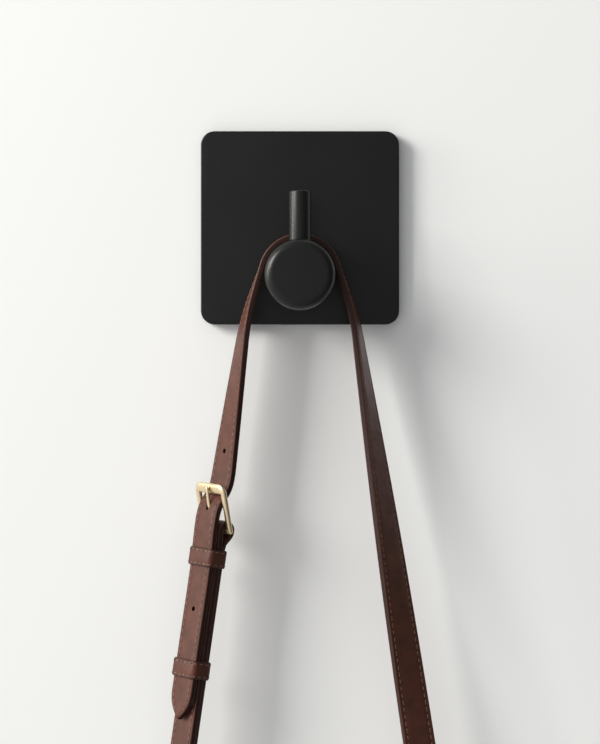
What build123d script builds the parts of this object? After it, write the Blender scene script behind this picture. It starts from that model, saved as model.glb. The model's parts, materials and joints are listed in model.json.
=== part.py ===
from build123d import *
from math import asin, cos, degrees, pi, radians, sin, tan
import os

# Leather lead with a buckle, hung on its wall hook. Millimetres, +Z up. The wall is the plane Y = 0,
# the viewer stands at -Y, and the origin is the middle of the hook's plate on the wall.

# wall plate
plate_width = 100.0
plate_height = 97.5
plate_corner = 7.0
plate_front = 6.0
plate_face = 2.0
rim_width = 6.0
gasket_thickness = 0.8
bracket_thickness = 1.5
bracket_width = 80.0
bracket_top = 43.6
bracket_bottom = -41.0
groove_depth = 1.2
wall_hole_spacing = 60.0
wall_hole_radius = 2.25
lip_reach = 3.8
lip_thickness = 2.0
lip_width = 24.0
grub_distance = 2.4
grub_radius = 1.5
grub_length = 6.2

# knob and post
knob_radius = 17.5
knob_height = -24.5
knob_front = 46.0
knob_rounding = 4.5
screw_radius = 2.5
screw_head_radius = 4.5
screw_length = 12.0
thread_clearance = 0.05
pin_radius = 1.5
pin_offset = 10.0
pin_back = 4.4
pin_front = 12.0
post_radius = 5.5
post_distance = 33.5
post_seat = -10.0
post_top = 17.0
stud_bottom = -17.0
stud_top = -2.0

# strap leather: an outer layer and a lining, stitched back to back with a thin seam between them
strap_width = 16.5
leather = 1.5
seam = 0.05
level = seam + leather / 2
wrap_radius = 19.3
wrap_half_angle = 72.0
wrap_distance = 16.5

# run of the strap down the left side, as points beside and below the origin, with its distance
# from the wall. A turn of 90 degrees shows the strap edge-on, and 0 shows its face.
left_slope = 8.1
left_lean = 2.4
left_turn = 52.0
left_points = [(-24.4, 17.4, -36.8), (-27.6, 18.2, -50.0), (-29.5, 18.9, -62.0)]
left_sections = 9
heel_point = (-43.2, -22.0, -150.9)

# run down the right side
right_slope = 8.6
right_lean = 2.4
right_turn = 20.0
right_points = [(24.6, 17.4, -36.8), (28.0, 18.1, -49.8), (30.1, 18.9, -63.0)]
right_bar_point = (64.2, -30.0, -290.0)
right_sections = 17
right_twist_ease = 0.12

# folded strap end round a bar, measured from the bar and from the middle of the strap
bar_radius = 1.6
bar_clearance = 0.15
bar_depth = 2.5
fold_radius = bar_radius + bar_clearance + leather + seam
fold_lift = fold_radius - bar_depth
tuck_length = 8.5
return_length = 28.0
return_gap = 0.1
end_length = 141.0
splice = 70.0

# tongue of the long strap through the buckle: distance up from the heel bar, and out from the
# middle of the buckle strap
tongue_start = 29.0
tongue_rest = 3.6
tongue_path = [(22.5, -1.5), (8.0, 3.6), (-2.0, 4.3), (-20.0, tongue_rest)]
tongue_radii = [50.0, 70.0, 22.0, 14.0]
tip_end = -95.8
tip_length = 15.0
hole_radius = 1.25
hole_pitch = 26.6
prong_hole = 12.6
prong_slot_width = 3.4

# buckle
far_bar_up = 19.5
far_bar_out = 4.5
far_bar_width = 4.4
frame_outer = 11.9
frame_inner = 9.0
frame_thickness = 2.3
frame_rounding = 0.8
prong_thickness = 1.5
prong_lift = 1.35
prong_length = 22.4
prong_root_width = 2.6
prong_tip_width = 1.7
prong_ring = prong_lift + prong_thickness
prong_bore = bar_radius + 0.05
crew_slot_width = 4.0
prong_play = 7.0
slot_clearance = 0.2

# keepers
keeper_leather = 1.15
keeper_width = 9.0
keeper_gap = 0.25
fixed_keeper_up = -14.5
fixed_keeper_inner = (-3.4, 5.6)
sliding_keeper_up = -70.3
sliding_keeper_inner = (-3.4, 5.5)

# rivets of the folded ends
rivet_distance = 16.0
rivet_radius = 2.0
rivet_head_radius = 4.0
rivet_head = 1.1

# bolt snap, measured down from the bar of its eye
eye_inner = 8.85
eye_outer = 11.5
eye_bottom = -10.5
eye_window = -7.5
eye_thickness = 3.0
stem_radius = 2.0
stem_head_radius = 3.2
stem_head_top = -17.25
stem_head_bottom = -19.0
barrel_radius = 5.0
barrel_top = -11.5
barrel_bottom = -40.0
swivel_top = -17.2
swivel_bottom = -19.4
swivel_radius = 3.5
bore_top = -20.6
bore_radius = 2.6
bolt_radius = 2.5
bolt_top = -33.0
bolt_end = -50.0
hook_tip = -50.3
hook_radius = 2.5
hook_width = 15.5
hook_bottom = -63.0
stub_height = -35.0
stub_radius = 1.3
slot_top = -24.3
slot_bottom = -36.7
slot_width = 3.0
thumb_radius = 2.3
spring_wire = 0.35
spring_radius = 1.9
spring_turns = 8

os.makedirs("parts", exist_ok=True)


def save(name, piece):
    """Labels a finished piece and writes it as a STEP file."""
    piece.label = name
    export_step(piece, f"parts/{name}.step")


def off_wall(distance):
    """Plane parallel to the wall, facing the viewer, with its x to the right and its y up."""
    return Plane(origin=(0, -distance, 0), x_dir=(1, 0, 0), z_dir=(0, -1, 0))


# Wall plate: a shallow tray that hangs on a steel bracket by its top rim and is locked by a grub
# screw through the bottom rim, with a foam gasket between the rim and the wall.
cavity_width = plate_width - 2 * rim_width
cavity_height = plate_height - 2 * rim_width

with BuildPart() as face_plate:
    with BuildSketch(off_wall(gasket_thickness)):
        RectangleRounded(plate_width, plate_height, plate_corner)
    extrude(amount=plate_front - gasket_thickness)
    front_edges = face_plate.faces().sort_by(Axis.Y)[0].edges()
    fillet(front_edges, radius=0.6)
    with BuildSketch(off_wall(gasket_thickness)):
        RectangleRounded(cavity_width, cavity_height, plate_corner - rim_width / 2)
    extrude(amount=plate_front - plate_face - gasket_thickness, mode=Mode.SUBTRACT)
    with BuildSketch(off_wall(gasket_thickness)):
        with Locations((0, cavity_height / 2)):
            Rectangle(bracket_width + 1, 2 * groove_depth)
    extrude(amount=bracket_thickness + 0.1 - gasket_thickness, mode=Mode.SUBTRACT)
    with BuildSketch(off_wall(plate_front - plate_face)):
        with Locations((0, knob_height)):
            Circle(screw_radius + thread_clearance)
    extrude(amount=plate_face, mode=Mode.SUBTRACT)
    with BuildSketch(Plane.YZ):
        with BuildLine():
            Polyline(
                (-plate_front, knob_height),
                (-plate_front, knob_height + screw_radius + thread_clearance),
                (plate_face - plate_front, knob_height + screw_head_radius + thread_clearance),
                (plate_face - plate_front, knob_height),
                close=True,
            )
        make_face()
    revolve(axis=Axis((0, 0, knob_height), (0, 1, 0)), mode=Mode.SUBTRACT)
    with BuildSketch(off_wall(pin_back)):
        with Locations((0, knob_height - pin_offset)):
            Circle(pin_radius + thread_clearance)
    extrude(amount=plate_front - pin_back, mode=Mode.SUBTRACT)
    with BuildSketch(Plane.XY.offset(-plate_height / 2)):
        with Locations((0, -grub_distance)):
            Circle(grub_radius + thread_clearance)
    extrude(amount=rim_width, mode=Mode.SUBTRACT)
save("face_plate", face_plate.part)

with BuildPart() as wall_gasket:
    with BuildSketch(off_wall(0)):
        RectangleRounded(plate_width - 2, plate_height - 2, plate_corner - 1)
        RectangleRounded(cavity_width + 2, cavity_height + 2, plate_corner - rim_width / 2, mode=Mode.SUBTRACT)
    extrude(amount=gasket_thickness)
save("wall_gasket", wall_gasket.part)

with BuildPart() as mounting_bracket:
    with BuildSketch(off_wall(0)):
        with Locations((0, (bracket_top + bracket_bottom) / 2)):
            RectangleRounded(bracket_width, bracket_top - bracket_bottom, 3)
        with GridLocations(wall_hole_spacing, 0, 2, 1):
            Circle(wall_hole_radius, mode=Mode.SUBTRACT)
        with Locations((0, knob_height)):
            Circle(8, mode=Mode.SUBTRACT)
        with Locations((0, 18)):
            SlotOverall(40, 16, mode=Mode.SUBTRACT)
    extrude(amount=bracket_thickness)
    with BuildSketch(off_wall(0)):
        with Locations((0, bracket_bottom + lip_thickness / 2)):
            Rectangle(lip_width, lip_thickness)
    extrude(amount=lip_reach)
save("mounting_bracket", mounting_bracket.part)

with BuildPart() as lock_grub_screw:
    grub_tip = bracket_bottom - 0.05
    with BuildSketch(Plane.XY.offset(grub_tip - grub_length)):
        with Locations((0, -grub_distance)):
            Circle(grub_radius)
    extrude(amount=grub_length)
    chamfer(lock_grub_screw.faces().sort_by(Axis.Z)[-1].edges(), length=0.8)
    with BuildSketch(Plane.XY.offset(grub_tip - grub_length)):
        with Locations((0, -grub_distance)):
            RegularPolygon(0.85, 6)
    extrude(amount=2, mode=Mode.SUBTRACT)
save("lock_grub_screw", lock_grub_screw.part)

# Knob: turned bar, screwed to the plate from behind and kept from turning by a pin, with a
# counterbore on top for the post.
with BuildPart() as knob:
    with BuildSketch(off_wall(plate_front)):
        with Locations((0, knob_height)):
            Circle(knob_radius)
    extrude(amount=knob_front - plate_front)
    fillet(knob.faces().sort_by(Axis.Y)[0].edges(), radius=knob_rounding)
    with BuildSketch(off_wall(plate_front)):
        with Locations((0, knob_height)):
            Circle(screw_radius + thread_clearance)
    extrude(amount=screw_length, mode=Mode.SUBTRACT)
    with BuildSketch(off_wall(plate_front)):
        with Locations((0, knob_height - pin_offset)):
            Circle(pin_radius + thread_clearance)
    extrude(amount=pin_front - plate_front + 0.3, mode=Mode.SUBTRACT)
    with BuildSketch(Plane.XY.offset(post_seat)):
        with Locations((0, -post_distance)):
            Circle(post_radius + thread_clearance)
    extrude(amount=knob_radius, mode=Mode.SUBTRACT)
    with BuildSketch(Plane.XY.offset(post_seat)):
        with Locations((0, -post_distance)):
            Circle(screw_radius + thread_clearance)
    extrude(amount=stud_bottom - 0.5 - post_seat, mode=Mode.SUBTRACT)
save("knob", knob.part)

with BuildPart() as knob_fixing_screw:
    head_back = plate_face - plate_front
    with BuildSketch(Plane.YZ):
        with BuildLine():
            Polyline(
                (head_back, knob_height),
                (head_back, knob_height + screw_head_radius),
                (-plate_front, knob_height + screw_radius),
                (head_back - screw_length, knob_height + screw_radius),
                (head_back - screw_length, knob_height),
                close=True,
            )
        make_face()
    revolve(axis=Axis((0, 0, knob_height), (0, 1, 0)))
    with BuildSketch(off_wall(-head_back)):
        with Locations((0, knob_height)):
            RegularPolygon(1.6, 6)
    extrude(amount=1.8, mode=Mode.SUBTRACT)
save("knob_fixing_screw", knob_fixing_screw.part)

with BuildPart() as anti_rotation_pin:
    with BuildSketch(off_wall(pin_back)):
        with Locations((0, knob_height - pin_offset)):
            Circle(pin_radius)
    extrude(amount=pin_front - pin_back)
    chamfer(anti_rotation_pin.edges().filter_by(GeomType.CIRCLE), length=0.3)
save("anti_rotation_pin", anti_rotation_pin.part)

with BuildPart() as upright_post:
    with BuildSketch(Plane.XY.offset(post_seat)):
        with Locations((0, -post_distance)):
            Circle(post_radius)
    extrude(amount=post_top - post_seat)
    fillet(upright_post.faces().sort_by(Axis.Z)[-1].edges(), radius=0.8)
    with BuildSketch(Plane.XY.offset(post_seat)):
        with Locations((0, -post_distance)):
            Circle(screw_radius + thread_clearance)
    extrude(amount=stud_top + 0.5 - post_seat, mode=Mode.SUBTRACT)
save("upright_post", upright_post.part)

with BuildPart() as post_stud:
    with BuildSketch(Plane.XY.offset(stud_bottom)):
        with Locations((0, -post_distance)):
            Circle(screw_radius)
    extrude(amount=stud_top - stud_bottom)
    chamfer(post_stud.edges().filter_by(GeomType.CIRCLE), length=0.5)
save("post_stud", post_stud.part)


# Strap directions and stations.
def downwards(side, slope, lean):
    """Direction of a strap run that leans outwards to its side and away from the wall."""
    return Vector(side * tan(radians(slope)), -tan(radians(lean)), -1).normalized()


def face_normal(down, side, turn):
    """Direction out of the strap's face, which a turn of 90 degrees points away from the knob."""
    sideways = down.cross(Vector(0, 1, 0)).normalized()
    to_viewer = down.cross(sideways)
    return to_viewer * cos(radians(turn)) + sideways * (side * sin(radians(turn)))


def station(point, down, side, turn):
    """Plane across the strap, with its x along the width and its y out of the face."""
    outward = face_normal(down, side, turn)
    return Plane(origin=point, x_dir=outward.cross(down), z_dir=down)


def knob_departure(side):
    """Point and direction where the strap leaves the knob on one side."""
    angle = radians(wrap_half_angle)
    point = Vector(side * wrap_radius * sin(angle), -wrap_distance, knob_height + wrap_radius * cos(angle))
    return point, Vector(side * cos(angle), 0, -sin(angle))


def run_stations(side, points, end_point, end_down, end_turn, count, ease):
    """Planes across the strap from the knob down to the end of a curved, twisting run."""
    start, start_down = knob_departure(side)
    route = [start] + [Vector(x, -distance, z) for x, distance, z in points] + [end_point]
    with BuildLine() as spine:
        Spline(*route, tangents=[start_down, end_down])
    curve = spine.edge()
    planes = []
    for i in range(count):
        along = i / (count - 1)
        twisted = along * (1 + ease * sin(pi * along))
        turn = 90 + (end_turn - 90) * twisted
        planes.append(station(curve.position_at(along), curve.tangent_at(along), side, turn))
    return planes


def leather_run(planes, height):
    """Adds one leather layer through its cross-sections at the stations."""
    sections = []
    for plane in planes:
        with BuildSketch(plane) as section:
            with Locations((0, height)):
                Rectangle(strap_width, leather)
        sections.append(section.sketch.face())
    loft(sections=sections, ruled=True)


def leather_wrap(first_plane, height):
    """Adds one leather layer round the top of the knob, from the left station to the right one."""
    with BuildSketch(first_plane) as section:
        with Locations((0, height)):
            Rectangle(strap_width, leather)
    revolve(section.sketch.face(), axis=Axis((0, 0, knob_height), (0, 1, 0)), revolution_arc=2 * wrap_half_angle)


def side_view(point, up, outward):
    """Plane seen along the strap's width, with its x up the strap and its y out of the face."""
    return Plane(origin=point, x_dir=up, z_dir=up.cross(outward))


def layer_side(is_outer):
    """Seam offset and growing side of a layer whose seam line is drawn towards a fold."""
    return (seam, Side.LEFT) if is_outer else (-seam, Side.RIGHT)


def folded_end(plane, length, is_outer, returning=return_length):
    """Adds one leather layer of an end folded back round a bar. The plane's origin is level with
    the bar, its x points to the bar, and its y out of the face. The outer layer returns up the
    back of the strap, and the lining stops inside the fold."""
    offset_out, grow = layer_side(is_outer)
    radius = fold_radius + offset_out
    tuck = -bar_depth - radius
    back = -leather - seam - return_gap
    with BuildSketch(plane) as profile:
        with BuildLine():
            FilletPolyline(
                (-length, offset_out),
                (-11, offset_out),
                (-3, fold_lift + offset_out),
                (0, fold_lift + offset_out),
                radius=12,
            )
            JernArc(start=(0, fold_lift + offset_out), tangent=(1, 0), radius=radius, arc_size=-180)
            offset(amount=leather, side=grow, kind=Kind.INTERSECTION)
        make_face()
        if is_outer:
            with BuildLine():
                FilletPolyline((0, tuck), (-2, tuck), (-tuck_length, back), (-returning, back), radius=2)
                offset(amount=leather, side=grow, kind=Kind.INTERSECTION)
            make_face()
    extrude(profile.sketch.face(), amount=strap_width / 2, both=True)


left_down = downwards(-1, left_slope, left_lean)
left_up = -left_down
left_out = face_normal(left_down, -1, left_turn)
left_across = left_out.cross(left_down)
heel = Vector(*heel_point)
right_down = downwards(1, right_slope, right_lean)
right_up = -right_down
right_out = face_normal(right_down, 1, right_turn)
right_across = right_out.cross(right_down)
right_bar = Vector(*right_bar_point)
left_bar = heel + left_down * end_length

left_side_view = side_view(heel, left_up, left_out)
left_face_view = Plane(origin=heel, x_dir=left_across, z_dir=left_out)
left_run_end = heel + left_up * tongue_start + left_out * tongue_path[0][1]
right_run_end = right_bar + right_up * return_length
left_planes = run_stations(-1, left_points, left_run_end, left_down, left_turn, left_sections, 0)
right_planes = run_stations(
    1, right_points, right_run_end, right_down, right_turn, right_sections, right_twist_ease
)

# Buckle angles: the frame leans from the heel bar, behind the tongue, to the far bar in front of it.
frame_lean = degrees(asin((far_bar_out + bar_depth) / ((far_bar_out + bar_depth) ** 2 + far_bar_up**2) ** 0.5))
frame_reach = ((far_bar_out + bar_depth) ** 2 + far_bar_up**2) ** 0.5
heel_bar = heel - left_out * bar_depth


def leaning(origin, lean):
    """Side view of the buckle, turned so that its x runs along a frame or prong at that lean."""
    along = left_up * cos(radians(lean)) + left_out * sin(radians(lean))
    return Plane(origin=origin, x_dir=along, z_dir=left_across)


buckle_side = leaning(heel_bar, frame_lean)
buckle_face = Plane(origin=heel_bar, x_dir=left_across, z_dir=buckle_side.y_dir)


# Long strap: pointed tongue through the buckle, up to the knob, over it and down to the right end.
def cut_prong_slot():
    """Cuts the slanting slot that the prong swings in, from its rest to its highest lift."""
    low = prong_lift - slot_clearance
    high = prong_ring + slot_clearance
    raised = leaning(heel_bar, frame_lean + prong_play)
    corners = [buckle_side.from_local_coords(Vector(x, low, 0)) for x in (3.0, prong_length)]
    corners += [raised.from_local_coords(Vector(x, high, 0)) for x in (prong_length, 3.0)]
    flat = [left_side_view.to_local_coords(corner) for corner in corners]
    with BuildSketch(left_side_view) as slot:
        with BuildLine():
            Polyline(*[(corner.X, corner.Y) for corner in flat], close=True)
        make_face()
    extrude(slot.sketch.face(), amount=prong_slot_width / 2, both=True, mode=Mode.SUBTRACT)


def long_strap_layer(is_outer):
    """Adds one leather layer of the long strap."""
    offset_out, grow = layer_side(is_outer)
    height = level if is_outer else -level
    low_points = [(tip_end, tongue_rest)] + tongue_path[::-1] + [(tongue_start, tongue_path[0][1])]
    with BuildSketch(left_side_view) as profile:
        with BuildLine():
            FilletPolyline(*[(up, out + offset_out) for up, out in low_points], radius=tongue_radii)
            offset(amount=leather, side=grow, kind=Kind.INTERSECTION)
        make_face()
    extrude(profile.sketch.face(), amount=strap_width / 2, both=True)
    half = strap_width / 2
    shoulder = tip_end + tip_length
    with BuildSketch(left_face_view) as outline:
        with BuildLine():
            Polyline((half, shoulder), (half, tongue_start + 1), (-half, tongue_start + 1), (-half, shoulder))
            ThreePointArc((-half, shoulder), (-0.68 * half, tip_end + 0.36 * tip_length), (-0.6, tip_end + 0.3))
            ThreePointArc((-0.6, tip_end + 0.3), (0, tip_end), (0.6, tip_end + 0.3))
            ThreePointArc((0.6, tip_end + 0.3), (0.68 * half, tip_end + 0.36 * tip_length), (half, shoulder))
        make_face()
    extrude(outline.sketch.face(), amount=10, both=True, mode=Mode.INTERSECT)
    cut_prong_slot()
    leather_run(left_planes, height)
    leather_wrap(left_planes[0], height)
    leather_run(right_planes, height)
    folded_end(side_view(right_bar, right_down, right_out), return_length, is_outer)
    with BuildSketch(left_face_view) as holes:
        with Locations(*[(0, prong_hole + i * hole_pitch) for i in (1, -1, -2, -3)]):
            Circle(hole_radius)
    extrude(holes.sketch.faces(), amount=7, both=True, mode=Mode.SUBTRACT)


def cut_rivet_hole(bar_point, up, across, outward):
    """Cuts a rivet hole through a folded end."""
    with BuildSketch(Plane(origin=bar_point + up * rivet_distance, x_dir=across, z_dir=outward)) as hole:
        Circle(rivet_radius + thread_clearance)
    extrude(hole.sketch.face(), amount=7, both=True, mode=Mode.SUBTRACT)


with BuildPart() as strap_outer:
    long_strap_layer(True)
    cut_rivet_hole(right_bar, right_up, right_across, right_out)
save("strap_outer", strap_outer.part)

with BuildPart() as strap_lining:
    long_strap_layer(False)
    cut_rivet_hole(right_bar, right_up, right_across, right_out)
save("strap_lining", strap_lining.part)


# Buckle strap: folded round the heel bar at its top and round the eye of the left snap at its foot.
def buckle_strap_layer(is_outer):
    """Adds one leather layer of the buckle strap, whose two returns nearly meet behind it."""
    lower = end_length - splice
    folded_end(left_side_view, splice, is_outer, splice - return_gap)
    folded_end(side_view(left_bar, left_down, left_out), lower, is_outer, lower - return_gap)
    with BuildSketch(left_side_view) as slot:
        Rectangle(11, 30)
    extrude(slot.sketch.face(), amount=crew_slot_width / 2, both=True, mode=Mode.SUBTRACT)
    cut_rivet_hole(left_bar, left_up, left_across, left_out)


with BuildPart() as buckle_strap_outer:
    buckle_strap_layer(True)
save("buckle_strap_outer", buckle_strap_outer.part)

with BuildPart() as buckle_strap_lining:
    buckle_strap_layer(False)
save("buckle_strap_lining", buckle_strap_lining.part)

# Buckle frame: a flat cast frame with its two side bars carried on the round heel bar.
with BuildPart() as buckle_frame:
    with BuildSketch(buckle_face):
        near = -bar_radius
        far = frame_reach + far_bar_width / 2
        with Locations((0, (near + far) / 2)):
            outer_face = Rectangle(2 * frame_outer, far - near)
        fillet(outer_face.vertices().sort_by(Axis.Y)[2:], radius=3.2)
        fillet(outer_face.vertices().sort_by(Axis.Y)[:2], radius=1.4)
        window_top = frame_reach - far_bar_width / 2
        with Locations((0, window_top / 2 - bar_radius)):
            Rectangle(2 * frame_inner, window_top + 2 * bar_radius, mode=Mode.SUBTRACT)
    extrude(amount=frame_thickness / 2, both=True)
    fillet(buckle_frame.edges(), radius=frame_rounding)
    with BuildSketch(buckle_side):
        Circle(bar_radius)
    extrude(amount=(frame_inner + frame_outer) / 2, both=True)
save("buckle_frame", buckle_frame.part)

with BuildPart() as prong:
    with BuildSketch(buckle_side):
        Circle(prong_ring)
    extrude(amount=prong_root_width / 2, both=True)
    with BuildSketch(buckle_face.offset(prong_lift)):
        with BuildLine():
            Polyline(
                (-prong_root_width / 2, 0),
                (-prong_tip_width / 2, prong_length),
                (prong_tip_width / 2, prong_length),
                (prong_root_width / 2, 0),
                close=True,
            )
        make_face()
    extrude(amount=prong_thickness)
    with BuildSketch(buckle_side):
        Circle(prong_bore)
    extrude(amount=prong_root_width, both=True, mode=Mode.SUBTRACT)
save("prong", prong.part)


# Keepers: leather loops round the strap. The upper one is stitched down and the lower one slides.
def keeper_loop(up, low, high):
    """Adds a keeper at a distance up from the heel, with its inner height from low to high."""
    inner_width = strap_width + 2 * keeper_gap
    inner_height = high - low
    middle = (high + low) / 2
    with BuildSketch(Plane(origin=heel + left_up * up, x_dir=left_across, z_dir=left_down)) as ring:
        with Locations((0, middle)):
            RectangleRounded(inner_width + 2 * keeper_leather, inner_height + 2 * keeper_leather, 1.6)
            RectangleRounded(inner_width, inner_height, 0.5, mode=Mode.SUBTRACT)
    extrude(ring.sketch.face(), amount=keeper_width / 2, both=True)


with BuildPart() as fixed_keeper:
    keeper_loop(fixed_keeper_up, *fixed_keeper_inner)
save("fixed_keeper", fixed_keeper.part)

with BuildPart() as sliding_keeper:
    keeper_loop(sliding_keeper_up, *sliding_keeper_inner)
save("sliding_keeper", sliding_keeper.part)

# Screw rivets that close the folded ends: a post with its head in front, and a cap behind.
rivet_front = leather + seam
rivet_back = -2 * leather - seam - return_gap
ends = {
    "left": (left_bar, left_down, left_across, left_out),
    "right": (right_bar, right_down, right_across, right_out),
}

with BuildPart() as end_rivet_posts:
    for bar_point, down, across, outward in ends.values():
        seat = Plane(origin=bar_point - down * rivet_distance, x_dir=across, z_dir=outward)
        with BuildSketch(seat.offset(rivet_back)):
            Circle(rivet_radius)
        extrude(amount=rivet_front - rivet_back)
        with BuildSketch(seat.offset(rivet_front)):
            Circle(rivet_head_radius)
        extrude(amount=rivet_head)
save("end_rivet_posts", end_rivet_posts.part)

with BuildPart() as end_rivet_caps:
    for bar_point, down, across, outward in ends.values():
        seat = Plane(origin=bar_point - down * rivet_distance, x_dir=across, z_dir=outward)
        with BuildSketch(seat.offset(rivet_back)):
            Circle(rivet_head_radius)
        extrude(amount=-rivet_head)
save("end_rivet_caps", end_rivet_caps.part)

# Bolt snaps: an eye in the folded end, a barrel that swivels on the eye's stem and carries the
# hook, a sprung bolt that closes the hook, and the spring inside the barrel.
for side_name, (bar_point, down, across, outward) in ends.items():
    bar_middle = bar_point - outward * bar_depth
    sideways = down.cross(Vector(0, 1, 0)).normalized()
    eye_plane = Plane(origin=bar_middle, x_dir=across, z_dir=outward)
    hook_plane = Plane(origin=bar_middle, x_dir=sideways, z_dir=down.cross(sideways))
    swivel_axis = Axis(bar_middle, -down)

    with BuildPart() as snap_eye:
        with BuildSketch(eye_plane):
            with Locations((0, (eye_bottom + bar_radius) / 2)):
                loop = Rectangle(2 * eye_outer, bar_radius - eye_bottom)
            fillet(loop.vertices().sort_by(Axis.Y)[:2], radius=3.5)
            fillet(loop.vertices().sort_by(Axis.Y)[2:], radius=1.4)
            with Locations((0, (eye_window + 2 * bar_radius) / 2)):
                Rectangle(2 * eye_inner, 2 * bar_radius - eye_window, mode=Mode.SUBTRACT)
        extrude(amount=eye_thickness / 2, both=True)
        fillet(snap_eye.edges(), radius=frame_rounding)
        with BuildSketch(Plane(origin=bar_middle, x_dir=-down, z_dir=across)):
            Circle(bar_radius)
        extrude(amount=(eye_inner + eye_outer) / 2, both=True)
        with BuildSketch(hook_plane):
            with BuildLine():
                Polyline(
                    (0, eye_bottom + 1),
                    (stem_radius, eye_bottom + 1),
                    (stem_radius, stem_head_top),
                    (stem_head_radius, stem_head_top),
                    (stem_head_radius, stem_head_bottom),
                    (0, stem_head_bottom),
                    close=True,
                )
            make_face()
        revolve(axis=swivel_axis)
    save(f"{side_name}_snap_eye", snap_eye.part)

    with BuildPart() as snap_body:
        with BuildSketch(hook_plane):
            with BuildLine():
                Polyline(
                    (0, barrel_top),
                    (barrel_radius - 1, barrel_top),
                    (barrel_radius, barrel_top - 1),
                    (barrel_radius, barrel_bottom),
                    (0, barrel_bottom),
                    close=True,
                )
            make_face()
        revolve(axis=swivel_axis)
        with BuildLine(hook_plane) as hook_line:
            FilletPolyline(
                (3.2, barrel_bottom + 4),
                (hook_width, barrel_bottom - 5),
                (hook_width, hook_bottom),
                (0, hook_bottom),
                (0, hook_tip),
                radius=[6.0, 7.6, 7.6],
            )
        with BuildSketch(Plane(origin=hook_line.line @ 0, z_dir=hook_line.line % 0)):
            Circle(hook_radius)
        sweep(path=hook_line.line)
        with BuildSketch(hook_plane):
            with BuildLine():
                Polyline(
                    (0, bore_top), (bore_radius, bore_top), (bore_radius, barrel_bottom), (0, barrel_bottom),
                    close=True,
                )
            make_face()
            with BuildLine():
                Polyline(
                    (0, barrel_top),
                    (stem_radius + thread_clearance, barrel_top),
                    (stem_radius + thread_clearance, swivel_top),
                    (swivel_radius, swivel_top),
                    (swivel_radius, swivel_bottom),
                    (0, swivel_bottom),
                    close=True,
                )
            make_face()
        revolve(axis=swivel_axis, mode=Mode.SUBTRACT)
        with BuildSketch(hook_plane):
            with Locations((0, (slot_top + slot_bottom) / 2)):
                SlotOverall(slot_top - slot_bottom, slot_width, rotation=90)
        extrude(amount=barrel_radius + 1, mode=Mode.SUBTRACT)
    save(f"{side_name}_snap_body", snap_body.part)

    with BuildPart() as snap_bolt:
        with BuildSketch(hook_plane):
            with BuildLine():
                Polyline(
                    (0, bolt_top),
                    (bolt_radius, bolt_top),
                    (bolt_radius, bolt_end + 0.8),
                    (bolt_radius - 0.8, bolt_end),
                    (0, bolt_end),
                    close=True,
                )
            make_face()
        revolve(axis=swivel_axis)
        with BuildSketch(hook_plane):
            with Locations((0, stub_height)):
                Circle(stub_radius)
        extrude(amount=barrel_radius + 1)
        with BuildSketch(hook_plane.offset(barrel_radius + 0.4)):
            with Locations((0, stub_height)):
                Circle(thumb_radius)
        extrude(amount=2.4)
        fillet(snap_bolt.faces().sort_by(Axis(bar_middle, hook_plane.z_dir))[-1].edges(), radius=0.8)
    save(f"{side_name}_snap_bolt", snap_bolt.part)

    with BuildPart() as snap_spring:
        coil_top = bore_top - spring_wire - 0.1
        coil_length = coil_top - bolt_top - spring_wire - 0.1
        with BuildLine() as coil:
            Helix(
                pitch=coil_length / spring_turns,
                height=coil_length,
                radius=spring_radius,
                center=bar_middle + down * -coil_top,
                direction=down,
            )
        with BuildSketch(Plane(origin=coil.line @ 0, z_dir=coil.line % 0)):
            Circle(spring_wire)
        sweep(path=coil.line, is_frenet=True)
    save(f"{side_name}_snap_spring", snap_spring.part)
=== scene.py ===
import json
from math import ceil, cos, pi, radians, sin
import bmesh
import bpy
from mathutils import Matrix, Vector
from mathutils.geometry import interpolate_bezier


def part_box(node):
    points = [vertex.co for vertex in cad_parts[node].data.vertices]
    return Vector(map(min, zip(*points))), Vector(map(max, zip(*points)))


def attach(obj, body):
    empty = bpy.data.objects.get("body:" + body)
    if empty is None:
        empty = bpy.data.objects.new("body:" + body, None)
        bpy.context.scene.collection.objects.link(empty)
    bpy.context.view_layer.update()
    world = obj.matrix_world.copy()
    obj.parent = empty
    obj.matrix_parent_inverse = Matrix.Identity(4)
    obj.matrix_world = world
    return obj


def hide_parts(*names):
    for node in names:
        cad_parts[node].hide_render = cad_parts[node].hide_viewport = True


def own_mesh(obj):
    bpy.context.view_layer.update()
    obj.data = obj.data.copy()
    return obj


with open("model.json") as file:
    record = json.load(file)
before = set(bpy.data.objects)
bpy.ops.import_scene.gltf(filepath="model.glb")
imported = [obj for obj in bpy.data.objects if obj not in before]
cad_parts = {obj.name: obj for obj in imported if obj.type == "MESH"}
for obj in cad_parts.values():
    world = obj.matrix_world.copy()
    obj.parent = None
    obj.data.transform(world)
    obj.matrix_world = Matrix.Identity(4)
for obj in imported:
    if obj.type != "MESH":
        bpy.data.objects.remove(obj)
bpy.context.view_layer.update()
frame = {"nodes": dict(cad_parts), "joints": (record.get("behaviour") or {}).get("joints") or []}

MM = 0.001

# Camera. It faces the wall square on from a metre and a half, level with a point a little below
# the plate, and takes in the hook and the upper part of the hanging lead.
viewing_distance = 1500 * MM
camera_height = -72.7 * MM
view_height = 375 * MM
plate_front_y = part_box("face_plate")[0].y
sensor_size = 36

camera_data = bpy.data.cameras.new("camera")
camera_data.sensor_width = sensor_size
camera_data.lens = sensor_size * viewing_distance / view_height
camera = bpy.data.objects.new("camera", camera_data)
camera.location = (0, plate_front_y - viewing_distance, camera_height)
camera.rotation_euler = (radians(90), 0, 0)
bpy.context.collection.objects.link(camera)
bpy.context.scene.camera = camera
bpy.context.scene.view_settings.view_transform = "Standard"

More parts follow.
